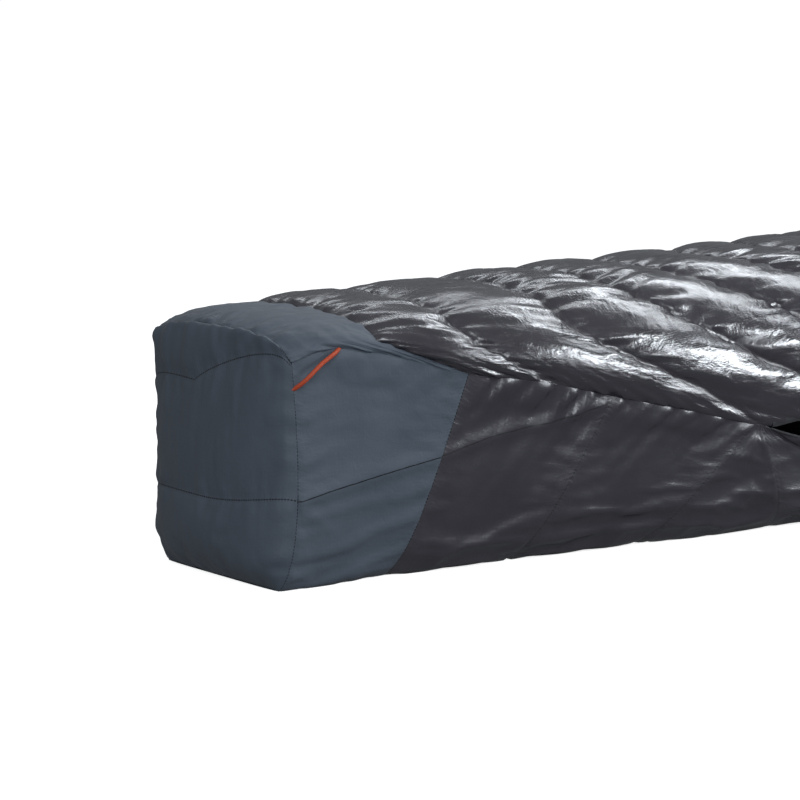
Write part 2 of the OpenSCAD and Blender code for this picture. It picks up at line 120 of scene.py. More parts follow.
def section(s, angle, rise=0.0, rest=REST):
    """Points in metres: angle 0 is the left side seam, 90 the ridge, 180 the right seam."""
    s, angle, rise = np.broadcast_arrays(*(np.asarray(v, float) for v in (s, angle, rise)))
    half = curve(s, HALF_WIDTH) + rise
    seam = curve(s, SEAM_HEIGHT)
    ridge = curve(s, RIDGE_HEIGHT) + rise
    left = angle < 90
    drop = np.where(left, -angle / 90, (angle - 180) / 90)
    turn = np.radians(np.clip(angle, 0, 180))
    side = np.where(left, -1, 1)
    y_up = side * half * np.abs(np.cos(turn)) ** ROUND_SIDE
    z_up = seam + (ridge - seam) * np.sin(turn).clip(0) ** ROUND_TOP
    y_low = side * half * low_width(drop, s)
    z_low = np.maximum(rest, seam - (seam + FLOOR_CUT + rise) * drop)
    low = drop > 0
    return np.stack([FOOT + s, np.where(low, y_low, y_up), np.where(low, z_low, z_up)], -1) * MM


def top_station(k, u):
    """Station of top seam k at u, the share of the way across from the left edge."""
    at, sweep, share, power = TOP_SEAMS[k]
    w = np.minimum(u, 1 - u)
    corner = CORNER_IN * np.clip(1 - w / 0.1, 0, 1) ** 2 if k == 0 else 0
    return at + corner + sweep * np.clip(1 - w / share, 0, 1) ** power


def top_angle(s, u):
    """Section angle at the share u across the top, between its two free edges."""
    edge = curve(s, EDGE_ANGLE)
    return edge + u * (180 - 2 * edge)


def corner_in(w):
    """How far the corner seam of the foot lies in from the foot: w is 0 below, 1 at the side seam."""
    return CORNER_IN * w + CORNER_BOW * np.sin(np.pi * w ** 0.85)


def base_station(j, w):
    """Station of base seam j at w, from -1 at the left side seam to 1 at the right one."""
    at, shift, power = BASE_SEAMS[j]
    corner = corner_in(np.abs(w)) if j == 0 else 0
    return at + corner + shift * np.abs(w) ** power


def base_angle(w):
    return np.where(w < 0, -90 * (1 + w), 180 + 90 * (1 - w))


def grid_rows(first, last, per_chamber):
    """(chamber, share of it) for each row of a panel."""
    rows = [(k, i / per_chamber(k)) for k in range(first, last) for i in range(per_chamber(k))]
    return rows + [(last - 1, 1.0)]


def fullness(v):
    """How full a chamber is at the share v of its length: 0 at its seams, 1 in its middle."""
    return (4 * v * (1 - v)).clip(0) ** 0.55


def chamber_grid(station, first, last, per_chamber, shares):
    """Stations, share of the chamber and number of the chamber on a panel's rows."""
    rows = grid_rows(first, last, per_chamber)
    v = np.array([part for _, part in rows])[:, None]
    low = np.array([station(k, shares) for k, _ in rows])
    high = np.array([station(k + 1, shares) for k, _ in rows])
    return low + (high - low) * v, v, np.array([k for k, _ in rows])


def top_grid(first, last, per_chamber, shares, rise=CROWN):
    s, v, chamber = chamber_grid(top_station, first, last, per_chamber, shares)
    u = np.broadcast_to(shares, s.shape)
    lift = rise * fullness(v) * (np.minimum(u, 1 - u) / TOP_EDGE).clip(0, 1) ** 0.5
    return s, u, v, chamber, lift


def base_grid(first, last, per_chamber, shares, rise=CROWN):
    s, v, chamber = chamber_grid(base_station, first, last, per_chamber, shares)
    w = np.broadcast_to(shares, s.shape)
    lift = rise * fullness(v) * ((1 - np.abs(w)) / BASE_EDGE).clip(0, 1) ** 0.5
    return s, w, v, chamber, lift


def even(points_at, lo, hi, n):
    """n parameter values from lo to hi that are evenly spaced along the curve points_at."""
    t = np.linspace(lo, hi, 4001)
    length = np.concatenate([[0], np.cumsum(np.linalg.norm(np.diff(points_at(t), axis=0), axis=1))])
    return np.interp(np.linspace(0, length[-1], n), length, t)


# ---- Meshes -------------------------------------------------------------------------------

def new_mesh(name, points, faces, uv, smooth):
    """An object from points, faces, the cloth coordinates of its points and its smooth faces."""
    mesh = bpy.data.meshes.new(name)
    mesh.from_pydata(points.reshape(-1, 3).tolist(), [], faces)
    layer = mesh.uv_layers.new(name="cloth")
    corners = uv.reshape(-1, 2)[[i for face in faces for i in face]]
    layer.data.foreach_set("uv", corners.astype(np.float32).reshape(-1))
    mesh.polygons.foreach_set("use_smooth", smooth)
    mesh.update()
    obj = bpy.data.objects.new(name, mesh)
    scene.collection.objects.link(obj)
    return obj


def grid_mesh(name, points, uv):
    """A mesh of quads on a grid of points, with its cloth coordinates in metres as UVs."""
    rows, columns = points.shape[:2]
    index = np.arange(rows * columns).reshape(rows, columns)
    quads = np.stack([index[:-1, :-1], index[1:, :-1], index[1:, 1:], index[:-1, 1:]], -1)
    faces = quads.reshape(-1, 4).tolist()
    return new_mesh(name, points, faces, uv, [True] * len(faces))


def cloth_uv(points):
    """Distances along the two directions of a grid, in metres both ways, so that the weave is square.
    """
    across = np.linalg.norm(np.diff(points, axis=1), axis=2)
    along = np.linalg.norm(np.diff(points, axis=0), axis=2)
    u = np.concatenate([np.zeros((points.shape[0], 1)), np.cumsum(across, 1)], 1)
    v = np.concatenate([np.zeros((1, points.shape[1])), np.cumsum(along, 0)], 0)
    u -= u[:, u.shape[1] // 2][:, None]
    return np.stack([u, v], -1)


def normals_of(points):
    """The outward unit normals of a grid of points."""
    du = np.gradient(points, axis=1)
    dv = np.gradient(points, axis=0)
    n = np.cross(dv, du)
    return n / np.linalg.norm(n, axis=2, keepdims=True).clip(1e-9)


def smooth_noise(shape, cells, rng):
    """Noise from -1 to 1 over a grid, with the stated number of cells each way."""
    field = rng.uniform(-1, 1, (cells[0] + 3, cells[1] + 3))
    r = np.linspace(0, cells[0], shape[0])
    c = np.linspace(0, cells[1], shape[1])
    i, j = r.astype(int), c.astype(int)
    fr, fc = (r - i)[:, None], (c - j)[None, :]
    fr, fc = fr * fr * (3 - 2 * fr), fc * fc * (3 - 2 * fc)
    a = field[np.ix_(i, j)]
    b = field[np.ix_(i, j + 1)]
    d = field[np.ix_(i + 1, j)]
    e = field[np.ix_(i + 1, j + 1)]
    return (a * (1 - fc) + b * fc) * (1 - fr) + (d * (1 - fc) + e * fc) * fr


def waves(length, pitch, rng):
    """Uneven, crisp waves along a line: a function of the distance in metres, from -1 to 1."""
    knots = np.cumsum(rng.uniform(0.3, 0.7, int(length / pitch * 2.4) + 8)) * pitch - pitch
    peaks = rng.uniform(0.3, 1.0, len(knots)) * np.where(np.arange(len(knots)) % 2, 1, -1)

    def at(x):
        i = np.clip(np.searchsorted(knots, x) - 1, 0, len(knots) - 2)
        q = np.clip((x - knots[i]) / (knots[i + 1] - knots[i]), 0, 1)
        q = q * q * (3 - 2 * q)
        return peaks[i] * (1 - q) + peaks[i + 1] * q
    return at


def run_lengths(points, axis):
    """Distance along a grid from its first row (axis 0) or first column (axis 1)."""
    step = np.linalg.norm(np.diff(points, axis=axis), axis=2)
    start = np.zeros_like(step[:1] if axis == 0 else step[:, :1])
    return np.concatenate([start, np.cumsum(step, axis)], axis)


SEAM_TIGHT = 0.0035                                    # reach of the stitches' pull, in metres


def fading(gap, reach):
    """How strong a seam's gathers are at a distance from it."""
    return np.exp(-gap / reach) * gap / (gap + SEAM_TIGHT)


def seam_gathers(points, chamber, pitch, height, reach, seed):
    """Heights of the gathers that run from each seam row of a grid into its chambers, and the
    distance to the nearest seam row. A seam's waves are shared by the chambers on its sides."""
    along = run_lengths(points, 1)
    total = np.zeros(points.shape[:2])
    nearest = np.full(points.shape[:2], 1.0)
    for k in np.unique(chamber):
        rows = np.nonzero(chamber == k)[0]
        if rows[-1] + 1 < len(chamber):
            rows = np.append(rows, rows[-1] + 1)
        from_low = run_lengths(points[rows], 0)
        to_high = from_low[-1] - from_low
        nearest[rows] = np.minimum(nearest[rows], np.minimum(from_low, to_high))
        for seam, gap, line in ((k, from_low, along[rows[0]]), (k + 1, to_high, along[rows[-1]])):
            rng = np.random.default_rng(seed + int(seam) * 17)
            wave = waves(line[-1], pitch, rng)
            slant = smooth_noise((1, len(line)), (1, 9), rng)[0] * 0.5
            far = reach * (1 + 0.7 * smooth_noise((1, len(line)), (1, 14), rng)[0])
            lift = wave(line + slant * gap) * fading(gap, far) * height
            total[rows[:-1]] += lift[:len(rows) - 1]
    return total, nearest


def edge_gathers(points, pitch, height, reach, seed):
    """Heights of the gathers that run from a grid's two side edges inwards."""
    along = run_lengths(points, 0)
    across = run_lengths(points, 1)
    total = np.zeros(points.shape[:2])
    for column, gap in ((0, across), (-1, across[:, -1:] - across)):
        rng = np.random.default_rng(seed)
        line = along[:, column][:, None]
        wave = waves(line[-1, 0], pitch, rng)
        far = reach * (1 + 0.7 * smooth_noise((len(line), 1), (24, 1), rng))
        total += wave(line + 0.35 * gap) * fading(gap, far) * height
    return total


# ---- Cloth simulation ---------------------------------------------------------------------

FRAMES = 24
MOST_MOVE = 0.013                                      # cap on the cloth's movement, in metres
waiting = []                                           # panels whose Cloth hasn't run
settled = {}                                           # points of each panel after its Cloth
dents = {}                                             # what each panel's valleys add to them


def blow_up(obj, pins, pressure, bend, grow):
    """Gives a panel its Cloth: pinned on its seams, grown all over, blown outwards."""
    for group_name, weights in (("pin", pins), ("growth", np.ones_like(pins))):
        group = obj.vertex_groups.new(name=group_name)
        group.add(np.nonzero(weights.reshape(-1))[0].tolist(), 1.0, "REPLACE")
    cloth = obj.modifiers.new("cloth", "CLOTH")
    settings = cloth.settings
    settings.quality = 4
    settings.mass = 0.02
    settings.tension_stiffness = 20
    settings.compression_stiffness = 20
    settings.shear_stiffness = 8
    settings.bending_stiffness = bend
    settings.air_damping = 2
    settings.vertex_group_mass = "pin"
    settings.pin_stiffness = 1
    settings.vertex_group_shrink = "growth"
    settings.shrink_min = 0
    settings.shrink_max = -grow
    settings.use_pressure = True
    settings.uniform_pressure_force = pressure
    settings.effector_weights.gravity = 0
    cloth.collision_settings.use_collision = False
    cloth.point_cache.frame_start = 1
    cloth.point_cache.frame_end = FRAMES
    waiting.append(obj)


def points_of(mesh):
    flat = np.empty(len(mesh.vertices) * 3, np.float32)
    mesh.vertices.foreach_get("co", flat)
    return flat.reshape(-1, 3)


def run_cloth():
    """Runs every waiting panel's Cloth at once, and keeps the shapes that they end in."""
    for step in range(1, FRAMES + 1):
        scene.frame_set(step)
    graph = bpy.context.evaluated_depsgraph_get()
    for obj in waiting:
        settled[obj.name] = points_of(obj.evaluated_get(graph).data)
    for obj in waiting:
        obj.modifiers.clear()
        start = points_of(obj.data)
        move = settled.get(obj.name, start) - start
        length = np.linalg.norm(move, axis=1, keepdims=True).clip(1e-9)
        co = start + move * np.minimum(1, MOST_MOVE / length) + dents[obj.name].reshape(-1, 3)
        co[:, 2] = np.maximum(co[:, 2], REST * MM)
        obj.data.vertices.foreach_set("co", co.astype(np.float32).reshape(-1))
        obj.data.update()
    waiting.clear()
    scene.frame_set(1)


# ---- Materials ----------------------------------------------------------------------------

RIPSTOP_WIDTH = 0.00028
THREAD_COLOUR = (0.004, 0.004, 0.005, 1)
SEAM_THREAD, LINE_THREAD = 0.0008, 0.0007              # half widths of the drawn threads
STITCH, STITCH_SHARE = 0.0042, 0.68                    # a stitch's pitch, and its share of it
SEAM_ROUGHER = 0.12                                    # roughness that a seam's puckers add
FOLD_HEIGHT, PUCKER_HEIGHT = 0.0014, 0.0020
RIPSTOP_HEIGHT, WEAVE_HEIGHT = 0.00005, 0.00003
RIB_HEIGHT, WEFT_HEIGHT = 0.00012, 0.00005
STRAND_HEIGHT, GRAIN_HEIGHT = 0.0002, 0.00004


def new_material(name):
    mat = bpy.data.materials.new(name)
    mat.use_nodes = True
    tree = mat.node_tree
    tree.nodes.clear()
    out = tree.nodes.new("ShaderNodeOutputMaterial")
    bsdf = tree.nodes.new("ShaderNodeBsdfPrincipled")
    tree.links.new(bsdf.outputs["BSDF"], out.inputs["Surface"])
    return mat, tree, bsdf


def node(tree, kind, inputs=None, **settings):
    """A node with its settings, whose inputs are values or other nodes' outputs."""
    made = tree.nodes.new(kind)
    for key, value in settings.items():
        setattr(made, key, value)
    for key, value in (inputs or {}).items():
        if isinstance(value, bpy.types.NodeSocket):
            tree.links.new(value, made.inputs[key])
        else:
            made.inputs[key].default_value = value
    return made


def maths(tree, operation, a, b=0.0, c=0.0):
    return node(tree, "ShaderNodeMath", {0: a, 1: b, 2: c}, operation=operation).outputs[0]


def grid_lines(tree, coordinate, pitch, width):
    """1 on thin lines a pitch apart, 0 between them."""
    part = maths(tree, "FRACT", maths(tree, "MULTIPLY", coordinate, 1 / pitch))
    off = maths(tree, "ABSOLUTE", maths(tree, "SUBTRACT", part, 0.5))
    return node(tree, "ShaderNodeMapRange",
                {"Value": off, "From Min": 0.5 - width / pitch, "From Max": 0.5}).outputs[0]


def mixed(tree, factor, a, b):
    made = node(tree, "ShaderNodeMix", {0: factor, 6: a, 7: b}, data_type="RGBA")
    return made.outputs[2]


def shell_cloth(name, dark, light, rough, shine, ripstop, crinkle, sheen=0.0, ior=1.5):
    """Down-proof nylon: a ripstop grid, fine crinkles and a stitched thread on each seam."""
    mat, tree, bsdf = new_material(name)
    uv = node(tree, "ShaderNodeUVMap", uv_map="cloth").outputs[0]
    split = node(tree, "ShaderNodeSeparateXYZ", {0: uv})
    rip_u = grid_lines(tree, split.outputs[0], ripstop, RIPSTOP_WIDTH)
    rip_v = grid_lines(tree, split.outputs[1], ripstop, RIPSTOP_WIDTH)
    rip = maths(tree, "MAXIMUM", rip_u, rip_v)
    patches = node(tree, "ShaderNodeTexNoise",
                   {"Vector": uv, "Scale": 14.0, "Detail": 3.0, "Roughness": 0.55}).outputs[0]
    weave = node(tree, "ShaderNodeTexNoise",
                 {"Vector": uv, "Scale": 1400.0, "Detail": 2.0}).outputs[0]
    tone = maths(tree, "ADD", maths(tree, "MULTIPLY", patches, 0.8),
                 maths(tree, "MULTIPLY", weave, 0.3))
    colour = mixed(tree, tone, (*dark, 1), (*light, 1))
    ripped = mixed(tree, maths(tree, "MULTIPLY", rip, 0.35), colour, (*light, 1))
    thread = seam_thread(tree, split.outputs[0])
    tree.links.new(mixed(tree, thread, ripped, THREAD_COLOUR), bsdf.inputs["Base Color"])
    rough_map = node(tree, "ShaderNodeMapRange",
                     {"Value": patches, "From Min": 0.3, "From Max": 0.7,
                      "To Min": rough - 0.05, "To Max": rough + 0.06}).outputs[0]
    seam_near = node(tree, "ShaderNodeAttribute", attribute_name="seam_near").outputs["Fac"]
    seam_rough = maths(tree, "MULTIPLY", seam_near, SEAM_ROUGHER)
    tree.links.new(maths(tree, "ADD", rough_map, seam_rough), bsdf.inputs["Roughness"])
    bsdf.inputs["Specular IOR Level"].default_value = shine
    bsdf.inputs["IOR"].default_value = ior
    bsdf.inputs["Sheen Weight"].default_value = sheen
    bsdf.inputs["Sheen Roughness"].default_value = 0.5
    folds = node(tree, "ShaderNodeTexNoise",
                 {"Vector": uv, "Scale": 55.0, "Detail": 4.0, "Roughness": 0.6,
                  "Distortion": 0.6}).outputs[0]
    stretch = node(tree, "ShaderNodeMapping", {"Vector": uv, "Scale": (1.0, 0.3, 1.0)})
    puckers = node(tree, "ShaderNodeTexNoise",
                   {"Vector": stretch.outputs[0], "Scale": 150.0, "Detail": 2.0}).outputs[0]
    pucker_height = maths(tree, "MULTIPLY", maths(tree, "SUBTRACT", puckers, 0.5), seam_near)
    height = maths(tree, "ADD", maths(tree, "MULTIPLY", folds, FOLD_HEIGHT * crinkle),
                   maths(tree, "MULTIPLY", pucker_height, PUCKER_HEIGHT))
    coarse = node(tree, "ShaderNodeBump",
                  {"Strength": 0.8, "Distance": 1.0, "Height": height})
    fine_height = maths(tree, "ADD", maths(tree, "MULTIPLY", rip, RIPSTOP_HEIGHT),
                        maths(tree, "MULTIPLY", weave, WEAVE_HEIGHT))
    fine = node(tree, "ShaderNodeBump",
                {"Strength": 0.6, "Distance": 1.0, "Height": fine_height,
                 "Normal": coarse.outputs[0]})
    tree.links.new(fine.outputs[0], bsdf.inputs["Normal"])
    return mat


def seam_thread(tree, along):
    """1 on the stitches of a seam, 0 elsewhere."""
    gap = node(tree, "ShaderNodeAttribute", attribute_name="seam_gap").outputs["Fac"]
    close = maths(tree, "LESS_THAN", gap, SEAM_THREAD)
    part = maths(tree, "FRACT", maths(tree, "MULTIPLY", along, 1 / STITCH))
    dash = maths(tree, "LESS_THAN", part, STITCH_SHARE)
    line = node(tree, "ShaderNodeAttribute", attribute_name="line_gap").outputs["Fac"]
    on_line = maths(tree, "LESS_THAN", maths(tree, "ABSOLUTE", line), LINE_THREAD)
    return maths(tree, "MAXIMUM", maths(tree, "MULTIPLY", close, dash), on_line)


def woven(name, colour, rib):
    """Tape or webbing: ribs across its length, with painted light on the ribs and painted shade
    between them.
    """
    mat, tree, bsdf = new_material(name)
    uv = node(tree, "ShaderNodeUVMap", uv_map="cloth").outputs[0]
    split = node(tree, "ShaderNodeSeparateXYZ", {0: uv})
    ribs = maths(tree, "SINE", maths(tree, "MULTIPLY", split.outputs[1], 2 * math.pi / rib))
    weft = maths(tree, "SINE", maths(tree, "MULTIPLY", split.outputs[0], 2 * math.pi / rib * 1.3))
    height = maths(tree, "ADD", maths(tree, "MULTIPLY", ribs, RIB_HEIGHT),
                   maths(tree, "MULTIPLY", weft, WEFT_HEIGHT))
    bump = node(tree, "ShaderNodeBump", {"Strength": 0.7, "Distance": 1.0, "Height": height})
    tree.links.new(bump.outputs[0], bsdf.inputs["Normal"])
    # The colour follows the ribs' height: painted shade in their grooves and painted light on their
    # crests, from darker and lighter copies of the colour.
    tone = maths(tree, "ADD", maths(tree, "MULTIPLY", ribs, 0.25), 0.5)
    dark = (*(c * 0.7 for c in colour), 1)
    light = (*(c * 1.5 for c in colour), 1)
    tree.links.new(mixed(tree, tone, dark, light), bsdf.inputs["Base Color"])
    bsdf.inputs["Roughness"].default_value = 0.7
    bsdf.inputs["Sheen Weight"].default_value = 0.1
    return mat


def braid(name, light, dark):
    """Braided cord: crossing strands, with painted light on their crests and painted shade between
    them.
    """
    mat, tree, bsdf = new_material(name)
    uv = node(tree, "ShaderNodeUVMap", uv_map="cloth").outputs[0]
    split = node(tree, "ShaderNodeSeparateXYZ", {0: uv})
    turn = maths(tree, "MULTIPLY", split.outputs[0], 2 * math.pi * 6)
    run = maths(tree, "MULTIPLY", split.outputs[1], 1800.0)
    strands = maths(tree, "MULTIPLY", maths(tree, "SINE", maths(tree, "ADD", turn, run)),
                    maths(tree, "SINE", maths(tree, "SUBTRACT", turn, run)))
    # The colour follows the strands' height: painted shade where they dip and painted light on their
    # crests.
    shade = maths(tree, "ADD", maths(tree, "MULTIPLY", strands, 0.5), 0.5)
    tree.links.new(mixed(tree, shade, (*dark, 1), (*light, 1)), bsdf.inputs["Base Color"])
    height = maths(tree, "MULTIPLY", strands, STRAND_HEIGHT)
    bump = node(tree, "ShaderNodeBump", {"Strength": 0.7, "Distance": 1.0, "Height": height})
    tree.links.new(bump.outputs[0], bsdf.inputs["Normal"])
    bsdf.inputs["Roughness"].default_value = 0.55
    return mat


def moulded(name, colour, rough, metallic):
    """Plastic or metal with a fine grain."""
    mat, tree, bsdf = new_material(name)
    place = node(tree, "ShaderNodeTexCoord").outputs["Object"]
    grain = node(tree, "ShaderNodeTexNoise",
                 {"Vector": place, "Scale": 900.0, "Detail": 2.0}).outputs[0]
    bsdf.inputs["Base Color"].default_value = (*colour, 1)
    bsdf.inputs["Metallic"].default_value = metallic
    rough_map = maths(tree, "ADD", maths(tree, "MULTIPLY", grain, 0.16), rough - 0.08)
    tree.links.new(rough_map, bsdf.inputs["Roughness"])
    height = maths(tree, "MULTIPLY", grain, GRAIN_HEIGHT)
    bump = node(tree, "ShaderNodeBump", {"Strength": 0.3, "Distance": 1.0, "Height": height})
    tree.links.new(bump.outputs[0], bsdf.inputs["Normal"])
    return mat


def finish_node(name, material):
    """Gives a carried-over CAD node its look."""
    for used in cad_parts[name].material_slots:
        used.material = material


# Shell cloths: dark and light shades, roughness, shine, ripstop pitch, crinkle, sheen
SLATE = shell_cloth("slate_shell", (0.046, 0.057, 0.074), (0.078, 0.095, 0.120), 0.56, 0.3,
                    0.0052, 0.7, 0.05)
PLUM = shell_cloth("plum_shell", (0.010, 0.008, 0.013), (0.022, 0.018, 0.026), 0.21, 1.0,
                   0.0045, 0.9, ior=1.6)
PLUM_SIDE = shell_cloth("plum_side", (0.016, 0.014, 0.020), (0.034, 0.030, 0.040), 0.33, 0.9,
                        0.0045, 0.6, ior=1.5)
LINER = shell_cloth("liner_cloth", (0.010, 0.010, 0.012), (0.018, 0.018, 0.021), 0.55, 0.3,
                    0.0045, 0.6, 0.05)
# Webbing and tape get painted light on their ribs and painted shade between them.
WEBBING = woven("webbing", (0.012, 0.012, 0.014), 0.0016)
TAPE = woven("edge_tape", (0.010, 0.010, 0.013), 0.0009)
# The cord's darker and lighter orange are painted shade between its strands and painted light on
# them.
CORD = braid("loop_cord", (0.50, 0.070, 0.016), (0.30, 0.030, 0.008))
PLASTIC = moulded("buckle_plastic", (0.013, 0.013, 0.015), 0.42, 0.0)
METAL = moulded("snap_metal", (0.42, 0.42, 0.44), 0.32, 1.0)

# ---- Panels -------------------------------------------------------------------------------

WOBBLE = 0.0008                                        # unevenness of the start, in metres
BASE_PUFF = 0.7                                        # share of CROWN that the base starts from
LINE_DENT, LINE_WIDTH = 0.0045, 0.009                  # the valley of a quilting line, in metres
# Creases of the foot: start and end as (station, across, height), depth and half width
CREASES = [((2, -146, 27), (-34, -100, 36), 4.5, 5), ((4, -146, 27), (42, -158, 12), 4.5, 5),
           ((14, -150, 108), (75, -160, 66), 3.5, 6), ((12, -150, 135), (52, -158, 119), 2.5, 5),
           ((-34, 40, 22), (-38, 100, 60), 3, 9), ((-30, 125, 290), (-36, 100, 262), 4, 6),
           ((-22, 95, 306), (-34, 78, 275), 4, 6), ((-20, 60, 312), (-32, 50, 285), 3, 6),
           ((-10, -60, 312), (-30, -40, 285), 4, 7), ((6, -140, 280), (-22, -110, 262), 4, 6),
           ((-28, -10, 268), (-30, -60, 280), 3, 8), ((-36, -40, 60), (-38, -100, 84), 2.5, 7)]
# The slanting quilting line on each side of the foot: station, height
SIDE_LINE = [(13, 115), (103, 132), (217, 155), (302, 175), (384, 186), (467, 205)]
# Looks. Gathers are pitch, height and reach, from coarse to fine; puff is the share of CROWN
# that a top chamber starts from.
GLOSSY_TOP = dict(slot="plum_shell", material=PLUM, pressure=4.0, bend=0.012, grow=0.09,
                  seams=((0.060, 0.0036, 0.050), (0.026, 0.0046, 0.024)),
                  edges=((0.055, 0.0050, 0.045), (0.026, 0.0046, 0.024)), puff=1.5)
GLOSSY_BASE = dict(slot="plum_shell", material=PLUM_SIDE, pressure=2.6, bend=0.02, grow=0.08,
                   seams=((0.040, 0.0022, 0.030),),
                   edges=((0.046, 0.0060, 0.050), (0.022, 0.0065, 0.026)))
MATT = dict(slot="slate_shell", material=SLATE, pressure=2.6, bend=0.02, grow=0.08,
            seams=((0.050, 0.0026, 0.050), (0.026, 0.0026, 0.018)),
            edges=((0.060, 0.0030, 0.050), (0.028, 0.0026, 0.018)), puff=0.8)


def put_attribute(obj, name, values):
    layer = obj.data.attributes.new(name, "FLOAT", "POINT")
    layer.data.foreach_set("value", np.ascontiguousarray(values, np.float32).reshape(-1))


def panel(name, points, v, chamber, look, line_gap=None):
    """One piece of the shell, pinned on its seams and edges, with gathers to start from."""
    rng = np.random.default_rng(sum(map(ord, name)))
    shape = points.shape[:2]
    pins = edge_pins(v, shape)
    uv = cloth_uv(points)
    normal = normals_of(points)
    wobble = smooth_noise(shape, (shape[0] // 5, shape[1] // 5), rng)
    lift = WOBBLE * wobble
    for seed, (pitch, height, reach) in enumerate(look["seams"]):
        more, nearest = seam_gathers(points, chamber, pitch, height, reach, 1000 + 100 * seed)
        lift = lift + more
    for seed, (pitch, height, reach) in enumerate(look["edges"]):
        lift = lift + edge_gathers(points, pitch, height, reach, 2000 + seed)
    lift = lift * (1 - pins)
    obj = grid_mesh(name, points + normal * lift[..., None], uv)
    put_attribute(obj, "seam_near", np.broadcast_to((1 - fullness(v)).clip(0, 1) ** 1.5, shape))
    if line_gap is None:
        line_gap = np.ones(shape)
    put_attribute(obj, "seam_gap", nearest)
    put_attribute(obj, "line_gap", line_gap)
    dent = LINE_DENT * np.exp(-(line_gap / LINE_WIDTH) ** 2) + crease_depth(points)
    obj.data.materials.append(look["material"])
    blow_up(obj, pins, look["pressure"], look["bend"], look["grow"])
    dents[name] = -normal * (dent * (1 - pins))[..., None]
    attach(obj, "quilt")
    return obj


def crease_depth(points):
    """How deep the foot's creases are at each point."""
    depth = np.zeros(points.shape[:2])
    for start, end, deep, wide in CREASES:
        a = (np.array(start, float) + [FOOT, 0, 0]) * MM
        b = (np.array(end, float) + [FOOT, 0, 0]) * MM
        t = (((points - a) @ (b - a)) / ((b - a) @ (b - a))).clip(0, 1)
        gap = np.linalg.norm(points - a - t[..., None] * (b - a), axis=2)
        depth += deep * MM * np.exp(-(gap / (wide * MM)) ** 2) * (1 - 0.5 * t)
    return depth


def edge_pins(v, shape):
    """1 on a panel's seams and edges, 0 elsewhere."""
    pins = np.zeros(shape)
    pins[np.broadcast_to((v == 0) | (v == 1), shape)] = 1
    pins[:, 0] = pins[:, -1] = 1
    return pins


def top_rows(k):
    """Rows in a top chamber: more in those that the camera sees near."""
    return 36 if k == 0 else 26 if k < 5 else 22 if k < 7 else 12


def base_rows(k):
    return 44 if k == 0 else 32


# Shares across the panels, evenly spaced on the section at a middling station
U_FINE = even(lambda u: section(np.full_like(u, 600.0), top_angle(600.0, u)), 0, 1, 166)
W_SIDE = even(lambda w: section(np.full_like(w, 420.0), base_angle(w)), -1, -0.08, 46)
W_FLOOR = even(lambda w: section(np.full_like(w, 420.0), base_angle(w)), -0.08, 0.08, 40)
W_FINE = np.concatenate([W_SIDE, W_FLOOR[1:-1], -W_SIDE[::-1]])


def top_panel(name, first, last, look):
    s, u, v, chamber, lift = top_grid(first, last, top_rows, U_FINE)
    return panel(name, section(s, top_angle(s, u), lift * look["puff"]), v, chamber, look)


def side_line_gap(s, points):
    """Height above the side's slanting quilting line, or more beyond its ends."""
    at, up = np.array(SIDE_LINE, float).T
    gap = points[..., 2] / MM - np.interp(s, at, up)
    beyond = np.maximum(np.maximum(at[0] - s, s - at[-1]), 0)
    return (gap + np.where(gap < 0, -1, 1) * beyond) * MM


def base_panel(name, first, last, look):
    s, w, v, chamber, lift = base_grid(first, last, base_rows, W_FINE)
    points = section(s, base_angle(w), lift * BASE_PUFF)
    return panel(name, points, v, chamber, look, side_line_gap(s, points))


# ---- The end panel ------------------------------------------------------------------------

END_BULGE = 40.0                                       # of the whole end, out from the foot
END_PUFF = 5.0                                         # of each of its chambers, on top of that
END_TOP_PUFF = 13.0                                    # upwards, of its top chamber
END_ROWS = (24, 26, 12)                                # rows of quads in its chambers
BELLY, LEAN = 0.25, 0.55                               # fullest height, and loss of bulge above it


def end_seams(u):
    """Shares of the height of the end's four seam lines; the upper one climbs to the near side."""
    low = 0.328 + 0.072 * np.clip(-u, 0, 1) ** 2
    high = 0.775 + 0.21 * (np.clip(0.2 - u, 0, 2) / 1.2) ** 0.8 + 0.03 * np.clip(u - 0.2, 0, 1)
    return [np.zeros_like(u), low, high, np.ones_like(u)]


def end_point(u, share, depth):
    """A point of the flat end panel between the edges of the foot: u from -1 to 1.

    The panel is blended from its two sides and its top edge. Its bottom edge is straight."""
    rest = REST + depth
    height = SEAM_HEIGHT[0][1]
    drop = (height - rest) / (height + FLOOR_CUT - depth) * (1 - share)
    inset = corner_in(1 - drop)
    left = section(inset + depth, -90 * drop, -depth, rest)
    right = section(inset + depth, 180 + 90 * drop, -depth, rest)
    turn = np.degrees(np.arccos(np.abs(u) ** (1 / ROUND_SIDE)))
    turn = np.where(u < 0, turn, 180 - turn)
    top = section(top_station(0, turn / 180) + depth, turn, -depth, rest)
    corners = [section(CORNER_IN + depth, angle, -depth, rest) for angle in (0.0, 180.0)]
    a = ((u + 1) / 2)[..., None]
    b = share[..., None]
    return b * top + (1 - a) * left + a * right - b * ((1 - a) * corners[0] + a * corners[1])


